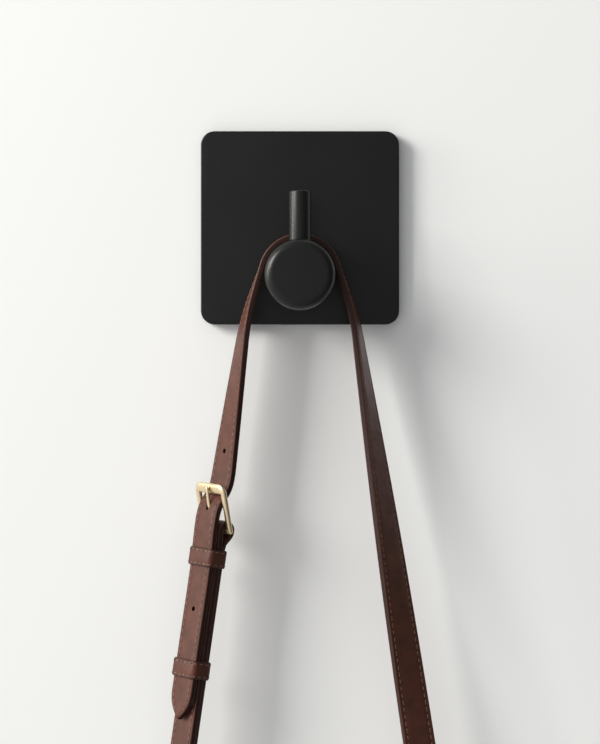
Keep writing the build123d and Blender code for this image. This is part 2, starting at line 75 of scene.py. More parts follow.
# Wall and light. The wall is smooth plaster under matt emulsion paint put on with a roller, and is
# scenery. Daylight comes from a window high on the left and from a second one almost in line with
# the wall. The wall lets light and sight through from behind, so the hook's back can be seen too.
wall_reach = 1500 * MM
wall_gap = 0.3 * MM
roller_grain = 2.5 * MM
light_from_left = 0.92
light_from_right = 0.08


def linear(code):
    """Linear colour of an sRGB hex value."""
    parts = [int(code[i : i + 2], 16) / 255 for i in (1, 3, 5)]
    return [c / 12.92 if c <= 0.04045 else ((c + 0.055) / 1.055) ** 2.4 for c in parts] + [1]


def add_node(tree, kind, inputs, **settings):
    """Adds a node with its settings. An input is a value, or another node's output to link."""
    node = tree.nodes.new(kind)
    for name, value in settings.items():
        setattr(node, name, value)
    for name, value in inputs.items():
        if isinstance(value, bpy.types.NodeSocket):
            tree.links.new(value, node.inputs[name])
        else:
            node.inputs[name].default_value = value
    return node


def new_material(name, **values):
    """A material with its shader's plain values set. Gives the material, its nodes and shader."""
    material = bpy.data.materials.new(name)
    material.use_nodes = True
    tree = material.node_tree
    shader = tree.nodes["Principled BSDF"]
    for socket, value in values.items():
        shader.inputs[socket.replace("_", " ")].default_value = value
    return material, tree, shader


# Emulsion paint: matt and chalky, with the faint stipple that a roller leaves.
wall_paint, tree, shader = new_material(
    "emulsion_paint", Base_Color=linear("#f5f5f2"), Roughness=0.9
)
place = add_node(tree, "ShaderNodeTexCoord", {})
stipple = add_node(
    tree,
    "ShaderNodeTexNoise",
    {"Vector": place.outputs["Object"], "Scale": 1 / roller_grain, "Detail": 3},
)
bump = add_node(
    tree, "ShaderNodeBump", {"Height": stipple.outputs["Fac"], "Strength": 0.12, "Distance": 0.2 * MM}
)
tree.links.new(bump.outputs["Normal"], shader.inputs["Normal"])
clear = add_node(tree, "ShaderNodeBsdfTransparent", {})
facing = add_node(tree, "ShaderNodeNewGeometry", {})
ray = add_node(tree, "ShaderNodeLightPath", {})
either = add_node(
    tree,
    "ShaderNodeMath",
    {0: facing.outputs["Backfacing"], 1: ray.outputs["Is Shadow Ray"]},
    operation="MAXIMUM",
)
one_way = add_node(
    tree, "ShaderNodeMixShader", {0: either.outputs[0], 1: shader.outputs[0], 2: clear.outputs[0]}
)
tree.links.new(one_way.outputs[0], tree.nodes["Material Output"].inputs["Surface"])

bm = bmesh.new()
bmesh.ops.create_grid(bm, x_segments=1, y_segments=1, size=wall_reach)
bmesh.ops.rotate(bm, verts=bm.verts, cent=(0, 0, 0), matrix=Matrix.Rotation(radians(90), 3, "X"))
bmesh.ops.translate(bm, verts=bm.verts, vec=(0, wall_gap, 0))
wall_mesh = bpy.data.meshes.new("wall")
bm.to_mesh(wall_mesh)
bm.free()
wall_mesh.materials.append(wall_paint)
wall = bpy.data.objects.new("wall", wall_mesh)
bpy.context.collection.objects.link(wall)

# Each light's place, width, height, power in watts, and colour.
aim = Vector((0, 0, -80 * MM))
windows = {
    "window": ((-2.30, -1.40, 1.15), 1.10, 1.10, 79.0, "#fffefb"),
    "side_window": ((-2.40, -0.26, 0.50), 0.80, 1.40, 35.0, "#fffdf8"),
    "back_fill": ((0.3, 1.6, 0.3), 1.2, 1.2, 14.0, "#ffffff"),
}
for name, (position, width, height, power, colour) in windows.items():
    light = bpy.data.lights.new(name, "AREA")
    light.shape = "RECTANGLE"
    light.size = width
    light.size_y = height
    light.energy = power
    light.color = linear(colour)[:3]
    lamp = bpy.data.objects.new(name, light)
    lamp.location = position
    lamp.rotation_euler = (aim - Vector(position)).to_track_quat("-Z", "Y").to_euler()
    lamp.visible_camera = False
    bpy.context.collection.objects.link(lamp)

room = bpy.data.worlds.new("room")
bpy.context.scene.world = room
room.use_nodes = True
tree = room.node_tree
direction = add_node(tree, "ShaderNodeTexCoord", {})
across_room = add_node(tree, "ShaderNodeSeparateXYZ", {"Vector": direction.outputs["Generated"]})
brightness = add_node(
    tree,
    "ShaderNodeMapRange",
    {
        "Value": across_room.outputs["X"],
        "From Min": -1,
        "From Max": 1,
        "To Min": light_from_left,
        "To Max": light_from_right,
    },
)
tree.links.new(brightness.outputs["Result"], tree.nodes["Background"].inputs["Strength"])
tree.nodes["Background"].inputs["Color"].default_value = linear("#fbfcff")

# Wall plate: 2 mm steel pressed into a shallow tray with rounded corners and powder coated. It
# hangs on the bracket by its top rim, and a grub screw through the bottom rim locks it.
plate_width = 100.0
plate_height = 97.5
plate_corner = 7.0
plate_back = 0.8
plate_front = 6.0
plate_edge_round = 0.6
rim_width = 6.0
tray_depth = 3.2
groove_width = 81.0
groove_floor = 1.6
groove_into_rim = 1.2
peel_size = 0.9 * MM
cloud_size = 30 * MM

# Powder coat: matt charcoal plastic baked on, with the orange peel that the melted powder leaves.
# The peel is drawn about twice as coarse as it is, or it wouldn't show.
powder_coat, tree, shader = new_material(
    "powder_coat", Base_Color=linear("#10100f"), Roughness=0.34, IOR=1.38
)
place = add_node(tree, "ShaderNodeTexCoord", {})
peel = add_node(
    tree, "ShaderNodeTexNoise", {"Vector": place.outputs["Object"], "Scale": 1 / peel_size, "Detail": 2}
)
bump = add_node(
    tree, "ShaderNodeBump", {"Height": peel.outputs["Fac"], "Strength": 0.25, "Distance": 0.06 * MM}
)
tree.links.new(bump.outputs["Normal"], shader.inputs["Normal"])
cloud = add_node(
    tree, "ShaderNodeTexNoise", {"Vector": place.outputs["Object"], "Scale": 1 / cloud_size, "Detail": 3}
)
shade = add_node(tree, "ShaderNodeValToRGB", {"Fac": cloud.outputs["Fac"]})
shade.color_ramp.elements[0].color = linear("#0e0e0d")
shade.color_ramp.elements[1].color = linear("#131312")
tree.links.new(shade.outputs["Color"], shader.inputs["Base Color"])
gloss = add_node(
    tree,
    "ShaderNodeMapRange",
    {"Value": cloud.outputs["Fac"], "From Min": 0.3, "From Max": 0.7, "To Min": 0.31, "To Max": 0.37},
)
tree.links.new(gloss.outputs["Result"], shader.inputs["Roughness"])


def bake(bm, name, materials):
    """Turns a mesh in millimetres into an object in metres, and empties it."""
    bmesh.ops.scale(bm, vec=(MM, MM, MM), verts=bm.verts)
    mesh = bpy.data.meshes.new(name)
    bm.to_mesh(mesh)
    bm.free()
    for material in materials:
        mesh.materials.append(material)
    thing = bpy.data.objects.new(name, mesh)
    bpy.context.collection.objects.link(thing)
    return thing


def make_piece(bm, name, materials, body, nodes, cutter=None, sharp=45):
    """Makes a piece from its mesh, less a cutter's mesh, that stands for CAD nodes on a body."""
    piece = bake(bm, name, materials)
    if cutter:
        tool = bake(cutter, "cutter", materials[-1:])
        boolean = piece.modifiers.new("cut", "BOOLEAN")
        boolean.operation = "DIFFERENCE"
        boolean.solver = "EXACT"
        boolean.material_mode = "TRANSFER"
        boolean.object = tool
        cut = bpy.data.meshes.new_from_object(piece.evaluated_get(bpy.context.evaluated_depsgraph_get()))
        piece.modifiers.clear()
        piece.data = cut
        bpy.data.objects.remove(tool)
    piece.data.shade_smooth()
    piece.data.set_sharp_from_angle(angle=radians(sharp))
    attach(piece, body)
    if nodes:
        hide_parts(*nodes)
    return piece


def box_between(bm, low, high):
    """Adds a box between two corners."""
    size = Vector(high) - Vector(low)
    middle = (Vector(high) + Vector(low)) / 2
    bmesh.ops.create_cube(bm, size=1, matrix=Matrix.Translation(middle) @ Matrix.Diagonal((*size, 1)))


bm = bmesh.new()
box_between(
    bm,
    (-plate_width / 2, -plate_front, -plate_height / 2),
    (plate_width / 2, -plate_back, plate_height / 2),
)
corners = [e for e in bm.edges if abs(e.verts[0].co.y - e.verts[1].co.y) > 1]
bmesh.ops.bevel(
    bm, geom=corners, offset=plate_corner, affect="EDGES", segments=14, profile=0.5, material=-1
)
front = [e for e in bm.edges if all(v.co.y < 0.1 - plate_front for v in e.verts)]
bmesh.ops.bevel(
    bm, geom=front, offset=plate_edge_round, affect="EDGES", segments=4, profile=0.5, material=-1
)
back = [f for f in bm.faces if f.calc_center_median().y > -plate_back - 0.1]
bmesh.ops.inset_region(bm, faces=back, thickness=rim_width, use_even_offset=True)
bmesh.ops.translate(bm, verts=list({v for f in back for v in f.verts}), vec=(0, -tray_depth, 0))
groove = bmesh.new()
rim_inside = plate_height / 2 - rim_width
box_between(
    groove,
    (-groove_width / 2, -groove_floor, rim_inside - 2),
    (groove_width / 2, 0, rim_inside + groove_into_rim),
)
make_piece(bm, "pressed_plate", [powder_coat], "wall_hook", ["face_plate"], groove)

# Knob and post: the knob is a bar 35 mm across, turned with a rounded front edge. The post is an
# 11 mm pin that stands in a counterbore on top of it. Both are powder coated with the plate.
knob_radius = 17.5
knob_height = -24.5
knob_front = 46.0
knob_rounding = 4.5
post_radius = 5.5
post_distance = 33.5
post_seat = -10.0
post_top = 17.0
post_rounding = 0.8
post_clearance = 0.1


def quarter(radius, height, rounding, segments):
    """Profile points round a turned corner, from its side to its end."""
    return [
        (
            radius - rounding + rounding * cos(pi / 2 * i / segments),
            height - rounding + rounding * sin(pi / 2 * i / segments),
        )
        for i in range(segments + 1)
    ]


def turned(bm, profile, place, steps):
    """Adds a turned solid: (radius, height) points spun about its own Z, then put in place."""
    points = [bm.verts.new(place @ Vector((radius, 0, height))) for radius, height in profile]
    outline = [bm.edges.new(pair) for pair in zip(points, points[1:])]
    bmesh.ops.spin(
        bm,
        geom=points + outline,
        cent=place.translation,
        axis=place.to_3x3().col[2],
        angle=2 * pi,
        steps=steps,
        use_merge=True,
    )
    bmesh.ops.remove_doubles(bm, verts=bm.verts, dist=0.001)
    bmesh.ops.recalc_face_normals(bm, faces=bm.faces)


def facing_place(origin, up, forward):
    """Placing of something whose own Z points forward and whose own Y points up."""
    z = Vector(forward).normalized()
    x = Vector(up).cross(z).normalized()
    turn = Matrix((x, z.cross(x), z)).transposed()
    return Matrix.Translation(origin) @ turn.to_4x4()


bm = bmesh.new()
profile = [(0, plate_front), (knob_radius, plate_front)]
profile += quarter(knob_radius, knob_front, knob_rounding, 10) + [(0, knob_front)]
turned(bm, profile, facing_place((0, 0, knob_height), (0, 0, 1), (0, -1, 0)), 96)
bore_radius = post_radius + post_clearance
bore = bmesh.new()
turned(
    bore,
    [(0, post_seat), (bore_radius, post_seat), (bore_radius, 5), (0, 5)],
    Matrix.Translation((0, -post_distance, 0)),
    64,
)
make_piece(bm, "turned_knob", [powder_coat], "wall_hook", ["knob"], bore)

bm = bmesh.new()
profile = [(0, post_seat), (post_radius, post_seat)]
profile += quarter(post_radius, post_top, post_rounding, 4) + [(0, post_top)]
turned(bm, profile, Matrix.Translation((0, -post_distance, 0)), 64)
make_piece(bm, "standing_post", [powder_coat], "wall_hook", ["upright_post"])

# Hidden fixings: the zinc-plated bracket on the wall, the foam gasket round the tray, and the
# black screws, pin and stud that join the plate, knob and post.

# Zinc plate: bright and slightly blue, with the fine lines of the rolled sheet under it.
zinc, tree, shader = new_material(
    "zinc_plated_steel", Base_Color=linear("#b9bcc0"), Metallic=1.0, Roughness=0.38
)
place = add_node(tree, "ShaderNodeTexCoord", {})
stretch = add_node(
    tree, "ShaderNodeMapping", {"Vector": place.outputs["Object"], "Scale": (40, 1000, 1000)}
)
lines = add_node(tree, "ShaderNodeTexNoise", {"Vector": stretch.outputs[0], "Scale": 1.5, "Detail": 4})
dull = add_node(
    tree, "ShaderNodeMapRange", {"Value": lines.outputs["Fac"], "To Min": 0.28, "To Max": 0.5}
)
tree.links.new(dull.outputs["Result"], shader.inputs["Roughness"])
bump = add_node(
    tree, "ShaderNodeBump", {"Height": lines.outputs["Fac"], "Strength": 0.2, "Distance": 0.05 * MM}
)
tree.links.new(bump.outputs["Normal"], shader.inputs["Normal"])

# Black oxide on screw steel: dark and oily, a little brown where handled.
black_oxide, tree, shader = new_material(
    "black_oxide_steel", Base_Color=linear("#1d1c1c"), Metallic=1.0, Roughness=0.4
)
place = add_node(tree, "ShaderNodeTexCoord", {})
rub = add_node(tree, "ShaderNodeTexNoise", {"Vector": place.outputs["Object"], "Scale": 1 / (3 * MM)})
tint = add_node(tree, "ShaderNodeValToRGB", {"Fac": rub.outputs["Fac"]})
tint.color_ramp.elements[0].color = linear("#181818")
tint.color_ramp.elements[1].color = linear("#2e2a28")
tree.links.new(tint.outputs["Color"], shader.inputs["Base Color"])

# Closed-cell foam: dead matt black with round cells half a millimetre across.
foam_cell = 0.5 * MM
foam, tree, shader = new_material("closed_cell_foam", Base_Color=linear("#232323"), Roughness=0.95)
place = add_node(tree, "ShaderNodeTexCoord", {})
cells = add_node(
    tree, "ShaderNodeTexVoronoi", {"Vector": place.outputs["Object"], "Scale": 1 / foam_cell}
)
bump = add_node(
    tree, "ShaderNodeBump", {"Height": cells.outputs["Distance"], "Strength": 0.6, "Distance": 0.15 * MM}
)
tree.links.new(bump.outputs["Normal"], shader.inputs["Normal"])


def finish_node(material, *names):
    """Gives CAD nodes a material."""
    for name in names:
        mesh = frame["nodes"][name].data
        mesh.materials.clear()
        mesh.materials.append(material)


finish_node(zinc, "mounting_bracket")
finish_node(foam, "wall_gasket")
finish_node(black_oxide, "lock_grub_screw", "knob_fixing_screw", "anti_rotation_pin", "post_stud")

# Long strap: bridle leather 16.5 mm wide, an outer layer and a lining sewn back to back, with
# creased and painted edges. It runs from its pointed tongue up through the buckle, over the knob
# and down to the right snap, where the outer layer is folded round the snap's eye and riveted.
joints = {joint["name"]: joint for joint in frame["joints"]}
heel_bar = Vector(joints["buckle_tilt"]["pos_m"]) / MM
left_across = Vector(joints["buckle_tilt"]["axis"]).normalized()
left_up = Vector(joints["keeper_slide"]["axis"]).normalized()
left_out = left_across.cross(left_up)
right_across = Vector(joints["right_eye_swing"]["axis"]).normalized()
right_down = Vector(joints["right_swivel"]["axis"]).normalized()
right_out = right_down.cross(right_across)

strap_half = 8.25
layer = 1.55
bar_depth = 2.5
fold_radius = 3.3
return_length = 28.0
return_depth = 1.6
heel = heel_bar + left_out * bar_depth
right_bar = Vector(joints["right_eye_swing"]["pos_m"]) / MM + right_out * bar_depth
tip_end = -95.8
tip_length = 15.0
tip_fullness = 2.55
tip_half = 0.35
run_start = 29.0
wrap_radius = 19.3
wrap_angle = 72.0
wrap_distance = 16.5
wrap_steps = 36
twist_ease = 0.12
lining_short = 29.0
skive_length = 4.0
tongue_line = [(-95.8, 4.0), (-60, 3.8), (-20, 3.6), (-2, 4.5), (7, 4.6), (12.5, 3.6), (19, -0.6)]
tongue_line += [(24, -1.5), (60, -1.5)]
left_points = [(-29.5, -18.9, -62.0), (-27.6, -18.2, -50.0), (-24.4, -17.4, -36.8)]
right_points = [(24.6, -17.4, -36.8), (28.0, -18.1, -49.8), (30.1, -18.9, -63.0)]
hole_radius = 1.25
holes = [39.2, -14.0, -40.6, -67.2]
prong_lean = 21.5
prong_hole_half = 1.35
prong_hole_low = 1.1
prong_hole_high = 4.4
prong_hole_ends = (4.0, 22.0)
stitch_pitch = 3.5
stitch_margin = 2.1
grain_size = 0.8 * MM


def leather(name, dark, light, roughness, wear):
    """Smooth dyed leather: fine pores, soft creases, and wax that clouds its colour and gloss."""
    material, tree, shader = new_material(name, Roughness=roughness, IOR=1.29, Sheen_Weight=wear)
    shader.inputs["Sheen Roughness"].default_value = 0.4
    shader.inputs["Sheen Tint"].default_value = linear("#d9a08c")
    place = add_node(tree, "ShaderNodeTexCoord", {})
    where = place.outputs["Object"]
    cloud = add_node(
        tree, "ShaderNodeTexNoise", {"Vector": where, "Scale": 1 / (7 * MM), "Detail": 6, "Roughness": 0.6}
    )
    colour = add_node(tree, "ShaderNodeValToRGB", {"Fac": cloud.outputs["Fac"]})
    colour.color_ramp.elements[0].position = 0.3
    colour.color_ramp.elements[0].color = linear(dark)
    colour.color_ramp.elements[1].position = 0.72
    colour.color_ramp.elements[1].color = linear(light)
    pores = add_node(
        tree, "ShaderNodeTexVoronoi", {"Vector": where, "Scale": 1 / grain_size, "Randomness": 0.9}
    )
    creases = add_node(
        tree, "ShaderNodeTexNoise", {"Vector": where, "Scale": 1 / (2.2 * MM), "Detail": 4}
    )
    height = add_node(
        tree,
        "ShaderNodeMath",
        {0: pores.outputs["Distance"], 1: 0.35, 2: creases.outputs["Fac"]},
        operation="MULTIPLY_ADD",
    )
    bump = add_node(
        tree, "ShaderNodeBump", {"Height": height.outputs[0], "Strength": 0.35, "Distance": 0.12 * MM}
    )
    tree.links.new(bump.outputs["Normal"], shader.inputs["Normal"])
    tree.links.new(colour.outputs["Color"], shader.inputs["Base Color"])
    gloss = add_node(
        tree,
        "ShaderNodeMapRange",
        {
            "Value": cloud.outputs["Fac"],
            "From Min": 0.3,
            "From Max": 0.7,
            "To Min": roughness + 0.06,
            "To Max": roughness - 0.06,
        },
    )
    tree.links.new(gloss.outputs["Result"], shader.inputs["Roughness"])
    return material


# Bridle leather: dyed chestnut right through and waxed, so it has a broad soft shine.
bridle_leather = leather("bridle_leather", "#44281e", "#573125", 0.47, 0.02)

# Edge paint: near-black acrylic over the burnished edge, smooth and a little glossy.
edge_paint, tree, shader = new_material(
    "edge_paint", Base_Color=linear("#26130e"), Roughness=0.4, IOR=1.34
)
place = add_node(tree, "ShaderNodeTexCoord", {})
fibres = add_node(
    tree, "ShaderNodeTexNoise", {"Vector": place.outputs["Object"], "Scale": 1 / (0.9 * MM), "Detail": 3}
)
bump = add_node(
    tree, "ShaderNodeBump", {"Height": fibres.outputs["Fac"], "Strength": 0.3, "Distance": 0.1 * MM}
)
tree.links.new(bump.outputs["Normal"], shader.inputs["Normal"])
tint = add_node(tree, "ShaderNodeValToRGB", {"Fac": fibres.outputs["Fac"]})
tint.color_ramp.elements[0].color = linear("#1e0f0b")
tint.color_ramp.elements[1].color = linear("#32190f")
tree.links.new(tint.outputs["Color"], shader.inputs["Base Color"])

# Waxed thread: a shade lighter than the leather, twisted, and the fine slanting ribs of each stitch are
# drawn as diagonal bands of painted shade and painted highlight in its colour.
waxed_thread, tree, shader = new_material(
    "waxed_thread", Base_Color=linear("#705041"), Roughness=0.6, IOR=1.4
)
place = add_node(tree, "ShaderNodeTexCoord", {})
twist_shading = add_node(
    tree,
    "ShaderNodeTexWave",
    {"Vector": place.outputs["Object"], "Scale": 0.35 / MM, "Distortion": 1.0},
    bands_direction="DIAGONAL",
)
# The ramp's dark bands are painted shade in the grooves of the twist, and its light bands are painted
# highlight on the ridges.
tint = add_node(tree, "ShaderNodeValToRGB", {"Fac": twist_shading.outputs["Fac"]})
tint.color_ramp.elements[0].color = linear("#5a3f33")
tint.color_ramp.elements[1].color = linear("#7f5d4c")
tree.links.new(tint.outputs["Color"], shader.inputs["Base Color"])


def smooth_line(points, step, first=None, last=None):
    """Points at a step along a smooth curve through the given ones, with its end directions."""
    points = [Vector(point) for point in points]
    slopes = []
    for i, point in enumerate(points):
        before = points[max(i - 1, 0)]
        after = points[min(i + 1, len(points) - 1)]
        slopes.append((after - before).normalized())
    slopes[0] = first or slopes[0]
    slopes[-1] = last or slopes[-1]
    line = []
    for a, b, slope_a, slope_b in zip(points, points[1:], slopes, slopes[1:]):
        reach = (b - a).length / 3
        count = max(2, ceil((b - a).length / step) + 1)
        line += interpolate_bezier(a, a + slope_a * reach, b - slope_b * reach, b, count)[:-1]
    return line + [points[-1]]


def level_at(line, x):
    """Height of a broken line at x, eased over 9 mm so that its corners are bends."""
    total = 0
    for k in range(-6, 7):
        at = min(max(x + k * 0.75, line[0][0]), line[-1][0])
        for (x0, y0), (x1, y1) in zip(line, line[1:]):
            if x0 <= at <= x1:
                total += y0 + (y1 - y0) * (at - x0) / (x1 - x0)
                break
    return total / 13


def turned_between(line, start, end, ease=0.0):
    """Pairs each point of a line with the direction of the strap's width, turning on the way."""
    steps = [0.0]
    for a, b in zip(line, line[1:]):
        steps.append(steps[-1] + (b - a).length)
    pairs = []
    for point, run in zip(line, steps):
        along = run / steps[-1]
        pairs.append((point, start.slerp(end, min(along * (1 + ease * sin(pi * along)), 1))))
    return pairs


def fold(bar, towards, outward, across, length, returning):
    """Route of a strap end from a length before a bar, round the bar, and back under itself."""
    level = [(-length, 0), (-18, 0), (-12, 0.05), (-7, 0.35), (-3, 0.72)]
    level += [
        (fold_radius * sin(pi / 6 * i), fold_radius * cos(pi / 6 * i) - bar_depth) for i in range(7)
    ]
    level += [(-2, -5.4), (-4.2, -3.9), (-6.4, -2.3), (-9.5, -return_depth), (-returning, -return_depth)]
    points = [bar + towards * x + outward * y for x, y in level]
    line = smooth_line(points[:4], 2)[:-1] + smooth_line(points[3:-1], 0.5)
    return [(point, across) for point in line + smooth_line(points[-2:], 2)[1:]]


def stations(route):
    """Distance, point and directions (along, outward, across) at each pair of a route."""
    places = []
    distance = 0
    for i, (point, across) in enumerate(route):
        before = route[max(i - 1, 0)][0]
        after = route[min(i + 1, len(route) - 1)][0]
        along = (after - before).normalized()
        outward = along.cross(across).normalized()
        if i:
            distance += (point - before).length
        places.append((distance, point, along, outward, outward.cross(along)))
    return places


def sweep(places, section_at, paints):
    """Draws a closed section along stations. section_at gives its (across, outward) points at a
    distance, and paints gives the material of each side of the section."""
    count = len(paints)
    bm = bmesh.new()
    bmesh.ops.create_grid(bm, x_segments=count, y_segments=len(places) - 1, size=1)
    for face in bm.faces:
        face.material_index = paints[int((face.calc_center_median().x + 1) / 2 * count)]
    sections = [section_at(place[0]) for place in places]
    for vert in bm.verts:
        i = round((vert.co.x + 1) / 2 * count) % count
        j = round((vert.co.y + 1) / 2 * (len(places) - 1))
        distance, point, along, outward, across = places[j]
        s, n = sections[j][i]
        vert.co = point + across * s + outward * n
    bmesh.ops.remove_doubles(bm, verts=bm.verts, dist=0.002)
    ends = [edge for edge in bm.edges if edge.is_boundary]
    bmesh.ops.holes_fill(bm, edges=ends, sides=0)
    bmesh.ops.recalc_face_normals(bm, faces=bm.faces)
    return bm


# Margin from the edge and drop below the face, through the crowned middle, the sewn channel, the
# crease and the round edge.
crown_edge = 2.6
full_depth = 2.4
face_shape = [(crown_edge, 0.03), (2.1, 0.22), (1.6, 0.05), (1.05, 0.17), (0.68, 0.0), (0.34, 0.1)]
face_shape += [(0.1, 0.42), (0.0, 0.95)]
seam_notch = 0.12


def strap_section(half, top, low):
    """Section of sewn leather between two heights, anticlockwise from the middle of its face."""
    squeeze = min((top - low) / full_depth, 1)
    side = [(0, 0)] * 3
    if half > crown_edge:
        side = [((half - crown_edge) * i / 3, 0.03 * (i / 3) ** 2) for i in range(3)]
    side += [(max(half - margin, 0), drop * squeeze) for margin, drop in face_shape]
    upper = [(s, top - drop) for s, drop in side]
    lower = [(s, low + drop) for s, drop in reversed(side)]
    right = upper + [(max(half - seam_notch, 0), (top + low) / 2)] + lower
    return right + [(-s, n) for s, n in reversed(right[1:-1])]


# Leather on the faces and edge paint on the two edges, side by side round the section.
strap_paints = ([0] * 9 + [1] * 4 + [0] * 9) * 2


def tongue_half(distance):
    """Half width of the long strap, which tapers in two curves to its point."""
    if distance >= tip_length:
        return strap_half
    return max(strap_half * (1 - (1 - distance / tip_length) ** tip_fullness), tip_half)


def skived(distance, start):
    """Underside of a strap whose lining is pared away over a short length after a start."""
    gone = min(max((distance - start) / skive_length, 0), 1)
    return -layer + (layer + 0.05) * gone


tongue = []
u = tip_end
while u < run_start:
    tongue.append((heel + left_up * u + left_out * level_at(tongue_line, u), -left_across))
    u += 0.5 if u < tip_end + tip_length else 1.0
wrap_middle = Vector((0, -wrap_distance, knob_height))
wrap = []
for i in range(wrap_steps + 1):
    angle = radians(wrap_angle * (2 * i / wrap_steps - 1))
    wrap.append((wrap_middle + Vector((sin(angle), 0, cos(angle))) * wrap_radius, Vector((0, 1, 0))))
run_end = heel + left_up * run_start + left_out * tongue_line[-1][1]
angle = radians(wrap_angle)
left_run = smooth_line(
    [run_end] + left_points + [wrap[0][0]], 2, left_up, Vector((cos(angle), 0, sin(angle)))
)
right_end = right_bar - right_down * return_length
right_run = smooth_line(
    [wrap[-1][0]] + right_points + [right_end], 2, Vector((cos(angle), 0, -sin(angle))), right_down
)
route = tongue + turned_between(left_run, -left_across, Vector((0, 1, 0)))[:-1] + wrap[:-1]
route += turned_between(right_run, Vector((0, 1, 0)), right_across, twist_ease)[:-1]
route += fold(right_bar, right_down, right_out, right_across, return_length, return_length)
long_strap = stations(route)
long_length = long_strap[-1][0]
lining_end = long_length - lining_short

bm = sweep(
    long_strap,
    lambda distance: strap_section(tongue_half(distance), layer, skived(distance, lining_end)),
    strap_paints,
)
punch = bmesh.new()
for u in holes:
    centre = heel + left_up * u + left_out * level_at(tongue_line, u)
    turned(
        punch,
        [(0, -4), (hole_radius, -4), (hole_radius, 4), (0, 4)],
        facing_place(centre, left_up, left_out),
        20,
    )
prong_along = left_up * cos(radians(prong_lean)) + left_out * sin(radians(prong_lean))
prong_out = left_across.cross(prong_along)
prong_hole = bmesh.new()
box_between(
    prong_hole,
    (-prong_hole_half, prong_hole_ends[0], prong_hole_low),
    (prong_hole_half, prong_hole_ends[1], prong_hole_high),
)
lengthwise = [e for e in prong_hole.edges if abs(e.verts[0].co.y - e.verts[1].co.y) > 1]
bmesh.ops.bevel(
    prong_hole,
    geom=lengthwise,
    offset=prong_hole_half - 0.05,
    affect="EDGES",
    segments=6,
    profile=0.5,
    material=-1,
)
frame_place = facing_place(heel_bar, prong_along, prong_out)
bmesh.ops.transform(prong_hole, matrix=frame_place, verts=prong_hole.verts)
hole_mesh = bpy.data.meshes.new("prong_hole")
prong_hole.to_mesh(hole_mesh)
prong_hole.free()
punch.from_mesh(hole_mesh)
bpy.data.meshes.remove(hole_mesh)
make_piece(
    bm,
    "long_strap",
    [bridle_leather, edge_paint],
    "lead",
    ["strap_outer", "strap_lining"],
    punch,
)

# Buckle strap: the same leather, folded round the buckle's heel bar at its top, where it is
# slotted for the prong, and round the left snap's eye at its foot. The two returns meet behind it.
buckle_strap_length = 141.0
splice = 70.0
splice_gap = 0.15
slot_half_width = 2.0
slot_half_length = 5.5
crew_slot = bmesh.new()
box_between(
    crew_slot,
    (-slot_half_width, -slot_half_length, -15),
    (slot_half_width, slot_half_length, 15),
)
bmesh.ops.transform(crew_slot, matrix=facing_place(heel, left_up, left_out), verts=crew_slot.verts)
left_bar = heel - left_up * buckle_strap_length
upper_fold = fold(heel, left_up, left_out, left_across, splice, splice - splice_gap)
lower = buckle_strap_length - splice
lower_fold = fold(left_bar, -left_up, left_out, left_across, lower, lower - splice_gap)
route = upper_fold[::-1] + lower_fold[1:]
buckle_strap = stations(route)
buckle_length = buckle_strap[-1][0]


def buckle_strap_low(distance):
    """Underside of the buckle strap, whose lining stops inside both folds."""
    pared_at = buckle_length - splice - 1
    return max(skived(distance, pared_at), skived(buckle_length - distance, pared_at))


bm = sweep(
    buckle_strap,
    lambda distance: strap_section(strap_half, layer, buckle_strap_low(distance)),
    strap_paints,
)
make_piece(
    bm,
    "buckle_strap",
    [bridle_leather, edge_paint],
    "lead",
    ["buckle_strap_outer", "buckle_strap_lining"],
    crew_slot,
)

# Stitching: waxed thread sewn through both layers, seven stitches to the inch, in channels
# 2.1 mm in from the edges. Each stitch lies in its channel between two awl holes, and each hole is drawn
# as a flat dark bead of painted shade.


def bead(name, length, width, height, finish):
    """Mesh of one small rounded bead in millimetres, with its length along X."""
    bm = bmesh.new()
    size = Matrix.Diagonal((length / 2, width / 2, height / 2, 1))
    bmesh.ops.create_uvsphere(bm, u_segments=8, v_segments=5, radius=1, matrix=size)
    for face in bm.faces:
        face.material_index = finish
    mesh = bpy.data.meshes.new(name)
    bm.to_mesh(mesh)
    bm.free()
    return mesh


one_stitch = bead("one_stitch", 2.8, 0.62, 0.5, 0)
# The awl hole is a flat bead in dark edge paint: painted shade standing for the hollow of the hole.
painted_hole_shade = bead("painted_hole_shade", 0.95, 0.8, 0.24, 1)
channel_depth = 0.14
mark_spacing = 0.25


def sew(bm, places, start, end, offset_at, height_at):
    """Adds a row of stitches along stations, with a flat dark bead of painted shade for each awl hole in
    turn between them. offset_at gives the row's place across the strap at a distance, and height_at the
    height of the leather under it."""
    marks = []
    run = 0.0
    index = 0
    distance = start
    while distance <= end:
        while index < len(places) - 2 and places[index + 1][0] < distance:
            index += 1
        low, high = places[index], places[index + 1]
        share = (distance - low[0]) / (high[0] - low[0])
        point, along, outward, across = [low[k].lerp(high[k], share) for k in (1, 2, 3, 4)]
        spot = point + across * offset_at(distance) + outward * height_at(distance)
        if marks:
            run += (spot - marks[-1][1]).length
        marks.append((run, spot, outward))
        distance += mark_spacing
    wanted = stitch_pitch / 2
    beads = [painted_hole_shade, one_stitch]
    for i in range(1, len(marks) - 1):
        if marks[i][0] < wanted:
            continue
        wanted += stitch_pitch / 2
        spot, outward = marks[i][1:]
        along = (marks[i + 1][1] - marks[i - 1][1]).normalized()
        sideways = outward.cross(along).normalized()
        turn = Matrix((along, sideways, along.cross(sideways))).transposed().to_4x4()
        one = beads[0].copy()
        one.transform(Matrix.Translation(spot) @ turn)
        bm.from_mesh(one)
        bpy.data.meshes.remove(one)
        beads.reverse()


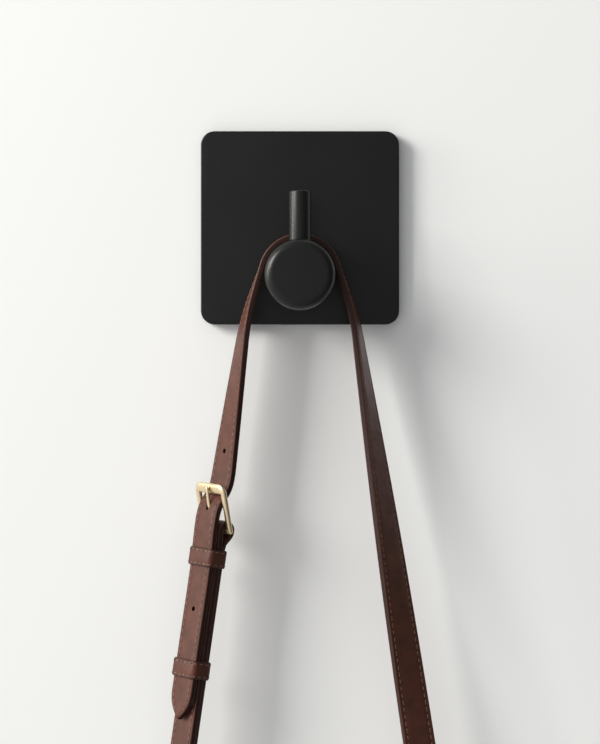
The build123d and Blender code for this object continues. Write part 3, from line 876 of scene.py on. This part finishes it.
bm = bmesh.new()
for side in (1, -1):
    for face in (1, -1):
        level = face * (layer - channel_depth)
        sew(
            bm,
            long_strap,
            2.6,
            long_length - 48 if face > 0 else long_length - 50,
            lambda distance: side * max(tongue_half(distance) - stitch_margin, 0.05),
            lambda distance: level,
        )
    # One row on each return and one between the folds: none crosses a bar.
    for start, end in ((3, 56), (91, buckle_length - 91), (buckle_length - 56, buckle_length - 3)):
        sew(
            bm,
            buckle_strap,
            start,
            end,
            lambda distance: side * (strap_half - stitch_margin),
            lambda distance: layer - channel_depth,
        )
make_piece(bm, "strap_stitching", [waxed_thread, edge_paint], "lead", [], sharp=90)

# Keepers: loops of the same leather 9 mm wide, round the buckle strap and the tongue. The upper
# one is sewn down under the buckle, and the lower one slides.
keeper_half = 4.5
keeper_half_thick = 0.575
keeper_corner = 2.1
keeper_margin = 1.35
keeper_gap = 0.25
keeper_shape = [(1.7, 0.02), (1.35, 0.13), (1.0, 0.03), (0.45, 0.1), (0.12, 0.3), (0.0, 0.57)]


def keeper_section(distance):
    """Section of a keeper's leather, with a sewn channel near each edge on its outer face."""
    right = [(0, keeper_half_thick)]
    right += [(keeper_half - margin, keeper_half_thick - drop) for margin, drop in keeper_shape]
    right += [(keeper_half - 0.15, 0.2 - keeper_half_thick), (keeper_half - 0.5, -keeper_half_thick)]
    right += [(0, -keeper_half_thick)]
    return right + [(-s, n) for s, n in reversed(right[1:-1])]


half_keeper_paints = [0, 0, 0, 0, 1, 1, 1, 1, 0]
keeper_paints = half_keeper_paints + half_keeper_paints[::-1]


def keeper_route(up, low, high):
    """Route round the straps at a distance up from the heel, from the middle of the back."""
    half = strap_half + keeper_gap + keeper_half_thick
    low -= keeper_half_thick
    high += keeper_half_thick
    corner = keeper_corner
    points = [(0.02, low), (half * 0.5, low), (half - corner, low)]
    for x, y, start in ((half, low, -90), (half, high, 0)):
        middle = (x - corner, y + corner if y == low else y - corner)
        for i in range(1, 7):
            angle = radians(start + 15 * i)
            points.append((middle[0] + corner * cos(angle), middle[1] + corner * sin(angle)))
        if y == low:
            points.append((half + 0.05, (low + high) / 2))
    points += [(half * 0.45, high + 0.12), (0, high + 0.18)]
    points += [(-x, y) for x, y in reversed(points[:-1])]
    centre = heel + left_up * up
    line = smooth_line([centre + left_across * x + left_out * y for x, y in points], 0.8)
    return stations([(point, -left_up) for point in line])


# Each keeper's place up the strap, and the heights of its inner faces behind and in front.
for name, node, body, up, low, high in (
    ("sewn_keeper", "fixed_keeper", "lead", -14.5, -3.4, 5.6),
    ("loose_keeper", "sliding_keeper", "keeper", -70.3, -3.4, 5.75),
):
    loop = keeper_route(up, low, high)
    bm = sweep(loop, keeper_section, keeper_paints)
    make_piece(bm, name, [bridle_leather, edge_paint], body, [node])
    bm = bmesh.new()
    for side in (1, -1):
        sew(
            bm,
            loop,
            1.5,
            loop[-1][0] - 1.5,
            lambda distance: side * (keeper_half - keeper_margin),
            lambda distance: keeper_half_thick - 0.06,
        )
    make_piece(bm, name + "_stitching", [waxed_thread, edge_paint], body, [], sharp=90)

# Buckle: cast brass with a pale satin finish. Its frame is one rounded bar bent round three sides,
# broad where the prong rests, and its ends carry the round heel bar. The prong is curled round it.
frame_reach = 21.3
side_bar_at = 10.5
far_half = 2.6
side_half = 1.6
bar_thick = 1.28
heel_bar_radius = 1.6
corner_bend = 2.6
end_rounding = 1.4
broadening = 4.1
bar_points = 20
squareness = 2.6

# Satin brass: polished, then brushed with a fine wheel and lacquered, so highlights are broad.
satin_brass, tree, shader = new_material(
    "satin_brass", Base_Color=linear("#d8c49a"), Metallic=1.0, Roughness=0.3
)
place = add_node(tree, "ShaderNodeTexCoord", {})
haze = add_node(
    tree, "ShaderNodeTexNoise", {"Vector": place.outputs["Object"], "Scale": 1 / (0.6 * MM), "Detail": 4}
)
tone = add_node(tree, "ShaderNodeValToRGB", {"Fac": haze.outputs["Fac"]})
tone.color_ramp.elements[0].position = 0.3
tone.color_ramp.elements[0].color = linear("#d9c196")
tone.color_ramp.elements[1].position = 0.7
tone.color_ramp.elements[1].color = linear("#ecdaba")
tree.links.new(tone.outputs["Color"], shader.inputs["Base Color"])
dull = add_node(
    tree, "ShaderNodeMapRange", {"Value": haze.outputs["Fac"], "To Min": 0.26, "To Max": 0.36}
)
tree.links.new(dull.outputs["Result"], shader.inputs["Roughness"])
bump = add_node(
    tree, "ShaderNodeBump", {"Height": haze.outputs["Fac"], "Strength": 0.15, "Distance": 0.03 * MM}
)
tree.links.new(bump.outputs["Normal"], shader.inputs["Normal"])


def oval(half_wide, half_thick):
    """Points round a rounded bar's section."""
    points = []
    for i in range(bar_points):
        angle = 2 * pi * i / bar_points
        c, s = cos(angle), sin(angle)
        grow = (abs(c) ** squareness + abs(s) ** squareness) ** (-1 / squareness)
        points.append((half_wide * c * grow, half_thick * s * grow))
    return points


points = [(-side_bar_at, y) for y in (-heel_bar_radius, 2, 6, 10, 14)]
points += [
    (
        -side_bar_at + corner_bend * (1 - cos(radians(a))),
        frame_reach - corner_bend + corner_bend * sin(radians(a)),
    )
    for a in (0, 30, 60, 90)
]
points += [(-4, frame_reach), (0, frame_reach)]
points += [(-x, y) for x, y in reversed(points[:-1])]
line = smooth_line([Vector((x, y, 0)) for x, y in points], 0.35)
frame_line = stations([(frame_place @ point, prong_out) for point in line])
frame_length = frame_line[-1][0]
straight = frame_reach + heel_bar_radius - corner_bend


def frame_section(distance):
    """Section of the buckle's frame: round ends, slim sides and a broad far bar."""
    near_end = min(distance, frame_length - distance)
    cap = (1 - (1 - min(near_end / end_rounding, 1)) ** 2) ** 0.5
    into_bar = min(max((near_end - straight) / broadening, 0), 1)
    into_bar = into_bar * into_bar * (3 - 2 * into_bar)
    wide = (side_half + (far_half - side_half) * into_bar) * max(cap, 0.05)
    return [(n, s) for s, n in oval(wide, bar_thick * max(cap, 0.05))]


bm = sweep(frame_line, frame_section, [0] * bar_points)
turned(
    bm,
    [(0, -side_bar_at), (heel_bar_radius, -side_bar_at), (heel_bar_radius, side_bar_at), (0, side_bar_at)],
    facing_place(heel_bar, left_up, left_across),
    28,
)
make_piece(bm, "buckle_bow", [satin_brass], "buckle", ["buckle_frame"])

curl = 2.25
points = [(curl * cos(radians(a)), curl * sin(radians(a))) for a in range(380, 89, -15)]
points += [(5, 2.38), (10, 2.5), (15, 2.45), (19.5, 2.25), (22.8, 1.95)]
line = smooth_line([frame_place @ Vector((0, x, y)) for x, y in points], 0.4)
prong_line = stations([(point, left_across) for point in line])
prong_length = prong_line[-1][0]


def prong_section(distance):
    """Section of the prong, which narrows to a rounded tip."""
    left = prong_length - distance
    cap = (1 - (1 - min(left / 0.9, 1)) ** 2) ** 0.5
    wide = 0.85 + 0.45 * min(left / 22, 1)
    thick = 0.55 + 0.15 * min(max(1 - (left - 16) / 10, 0), 1)
    return oval(wide * max(cap, 0.08), thick * max(cap, 0.08))


bm = sweep(prong_line, prong_section, [0] * bar_points)
make_piece(bm, "curled_prong", [satin_brass], "prong", ["prong"])

# Rivets: brass screw rivets that close the folded ends, 16 mm from the bars, with low domed heads.
rivet_distance = 16.0
rivet_head_radius = 4.0
rivet_head = 1.1
rivet_rim = 0.25
rivet_sunk = 0.4
rivet_back = 3.15
ends = ((left_bar, left_up, left_out), (right_bar, -right_down, right_out))
dome = [(0, -rivet_sunk), (rivet_head_radius, -rivet_sunk), (rivet_head_radius, rivet_rim)]
dome += [
    (
        rivet_head_radius * cos(pi / 2 * i / 8),
        rivet_rim + (rivet_head - rivet_rim) * sin(pi / 2 * i / 8),
    )
    for i in range(1, 9)
]
for name, node, forward, level in (
    ("rivet_heads", "end_rivet_posts", 1, layer),
    ("rivet_caps", "end_rivet_caps", -1, rivet_back),
):
    bm = bmesh.new()
    for bar, up, outward in ends:
        seat = bar + up * rivet_distance + outward * forward * level
        turned(bm, dome, facing_place(seat, up, outward * forward), 40)
    make_piece(bm, name, [satin_brass], "lead", [node])

# Bolt snaps: die-cast brass hooks that swivel on their eyes, with a sprung bolt and its thumb
# knob.

# Spring steel: bright grey drawn wire with a slight blueing.
spring_steel, tree, shader = new_material(
    "spring_steel", Base_Color=linear("#a9aaae"), Metallic=1.0, Roughness=0.3
)
place = add_node(tree, "ShaderNodeTexCoord", {})
drawn = add_node(tree, "ShaderNodeTexNoise", {"Vector": place.outputs["Object"], "Scale": 1 / MM})
dull = add_node(
    tree, "ShaderNodeMapRange", {"Value": drawn.outputs["Fac"], "To Min": 0.2, "To Max": 0.4}
)
tree.links.new(dull.outputs["Result"], shader.inputs["Roughness"])
for side in ("left", "right"):
    finish_node(satin_brass, side + "_snap_eye", side + "_snap_body", side + "_snap_bolt")
    bm = bmesh.new()
    bm.from_mesh(frame["nodes"][side + "_snap_spring"].data)
    bmesh.ops.scale(bm, vec=(1 / MM, 1 / MM, 1 / MM), verts=bm.verts)
    bmesh.ops.remove_doubles(bm, verts=bm.verts, dist=0.001)
    coil = make_piece(
        bm, side + "_coil_spring", [spring_steel], side + "_snap", [side + "_snap_spring"]
    )
    slide = joints[side + "_bolt_slide"]
    back = Vector(slide["axis"]).normalized()
    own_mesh(coil)
